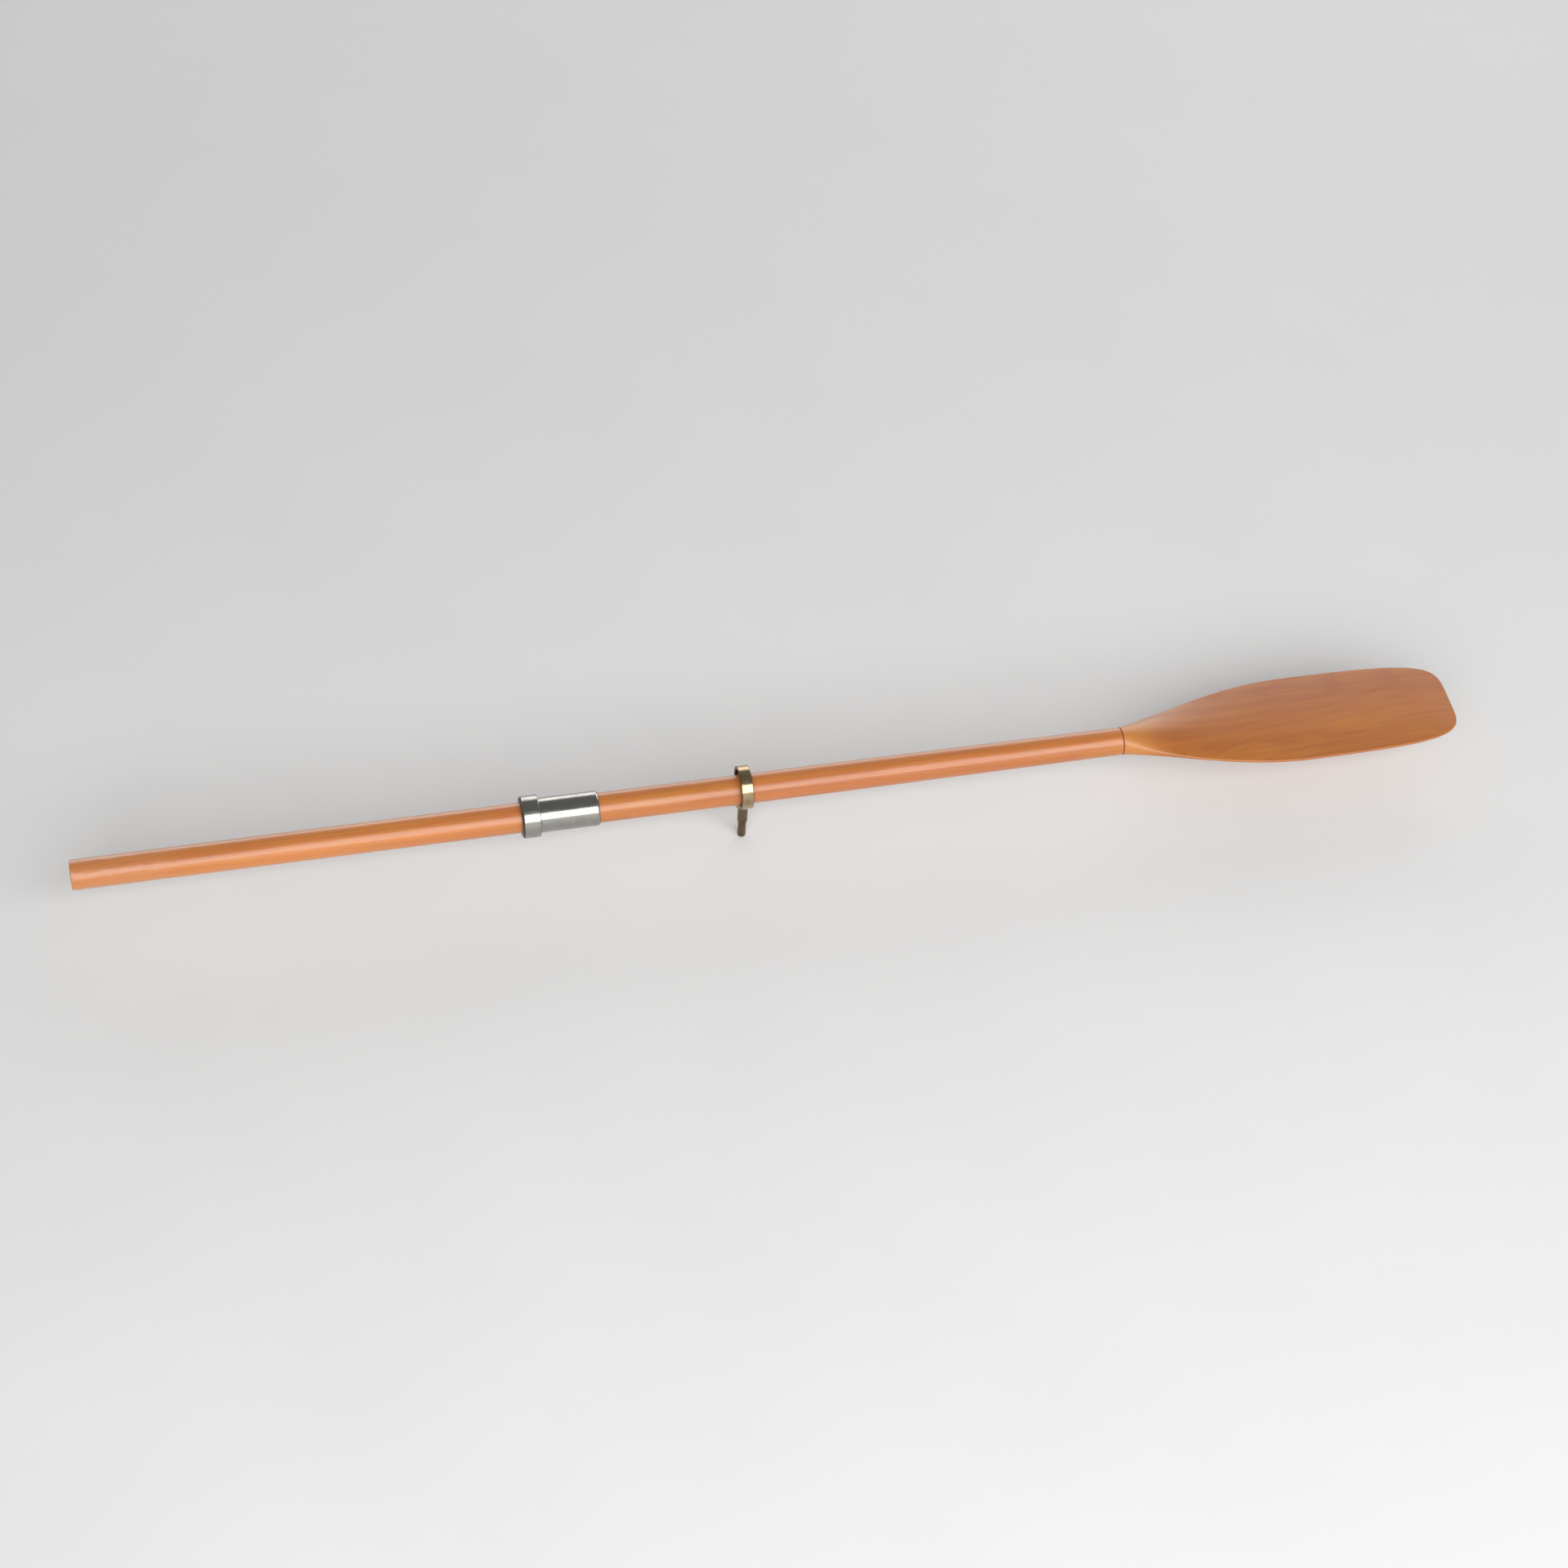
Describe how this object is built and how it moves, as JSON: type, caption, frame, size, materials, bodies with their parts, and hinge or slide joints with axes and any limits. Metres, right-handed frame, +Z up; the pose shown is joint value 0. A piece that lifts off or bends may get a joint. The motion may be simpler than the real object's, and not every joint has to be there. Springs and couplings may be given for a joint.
{
  "type": "rowing oar with ring oarlock",
  "caption": "Varnished wooden rowing oar: round loom, flat crowned blade, steel sleeve with button collar, and a captive closed brass ring oarlock on a shank.",
  "frame": {"origin": "on the shank's axis, at the shoulder that sits on the top of the boat's socket", "axes": "+Z up out of the socket, +X along the loom towards the blade, +Y square to both; the blade lies flat at rest"},
  "size_m": [2.134, 0.17, 0.1432],
  "materials": {
    "varnished_wood": "satin varnish over straight-grained honey-orange wood",
    "blade_wood": "satin varnish over wavy-grained orange-brown wood",
    "dowel_wood": "bare hardwood, glued in",
    "polished_steel": "polished, fine turning marks",
    "screw_steel": "plain steel",
    "brass": "handled brass, bright on the edges"
  },
  "bodies": {
    "oarlock": {"oarlock_ring": "brass", "oarlock_shank": "brass"},
    "oar": {"loom": "varnished_wood", "blade": "blade_wood", "neck_dowel": "dowel_wood", "sleeve": "polished_steel", "sleeve_screws": "screw_steel", "button_collar": "polished_steel", "button_set_screws": "screw_steel"}
  },
  "joints": [
    {"name": "feather", "type": "hinge", "parent": "oarlock", "child": "oar", "pos_m": [0, 0, 0.0714], "axis": [1, 0, 0], "continuous": true}
  ]
}
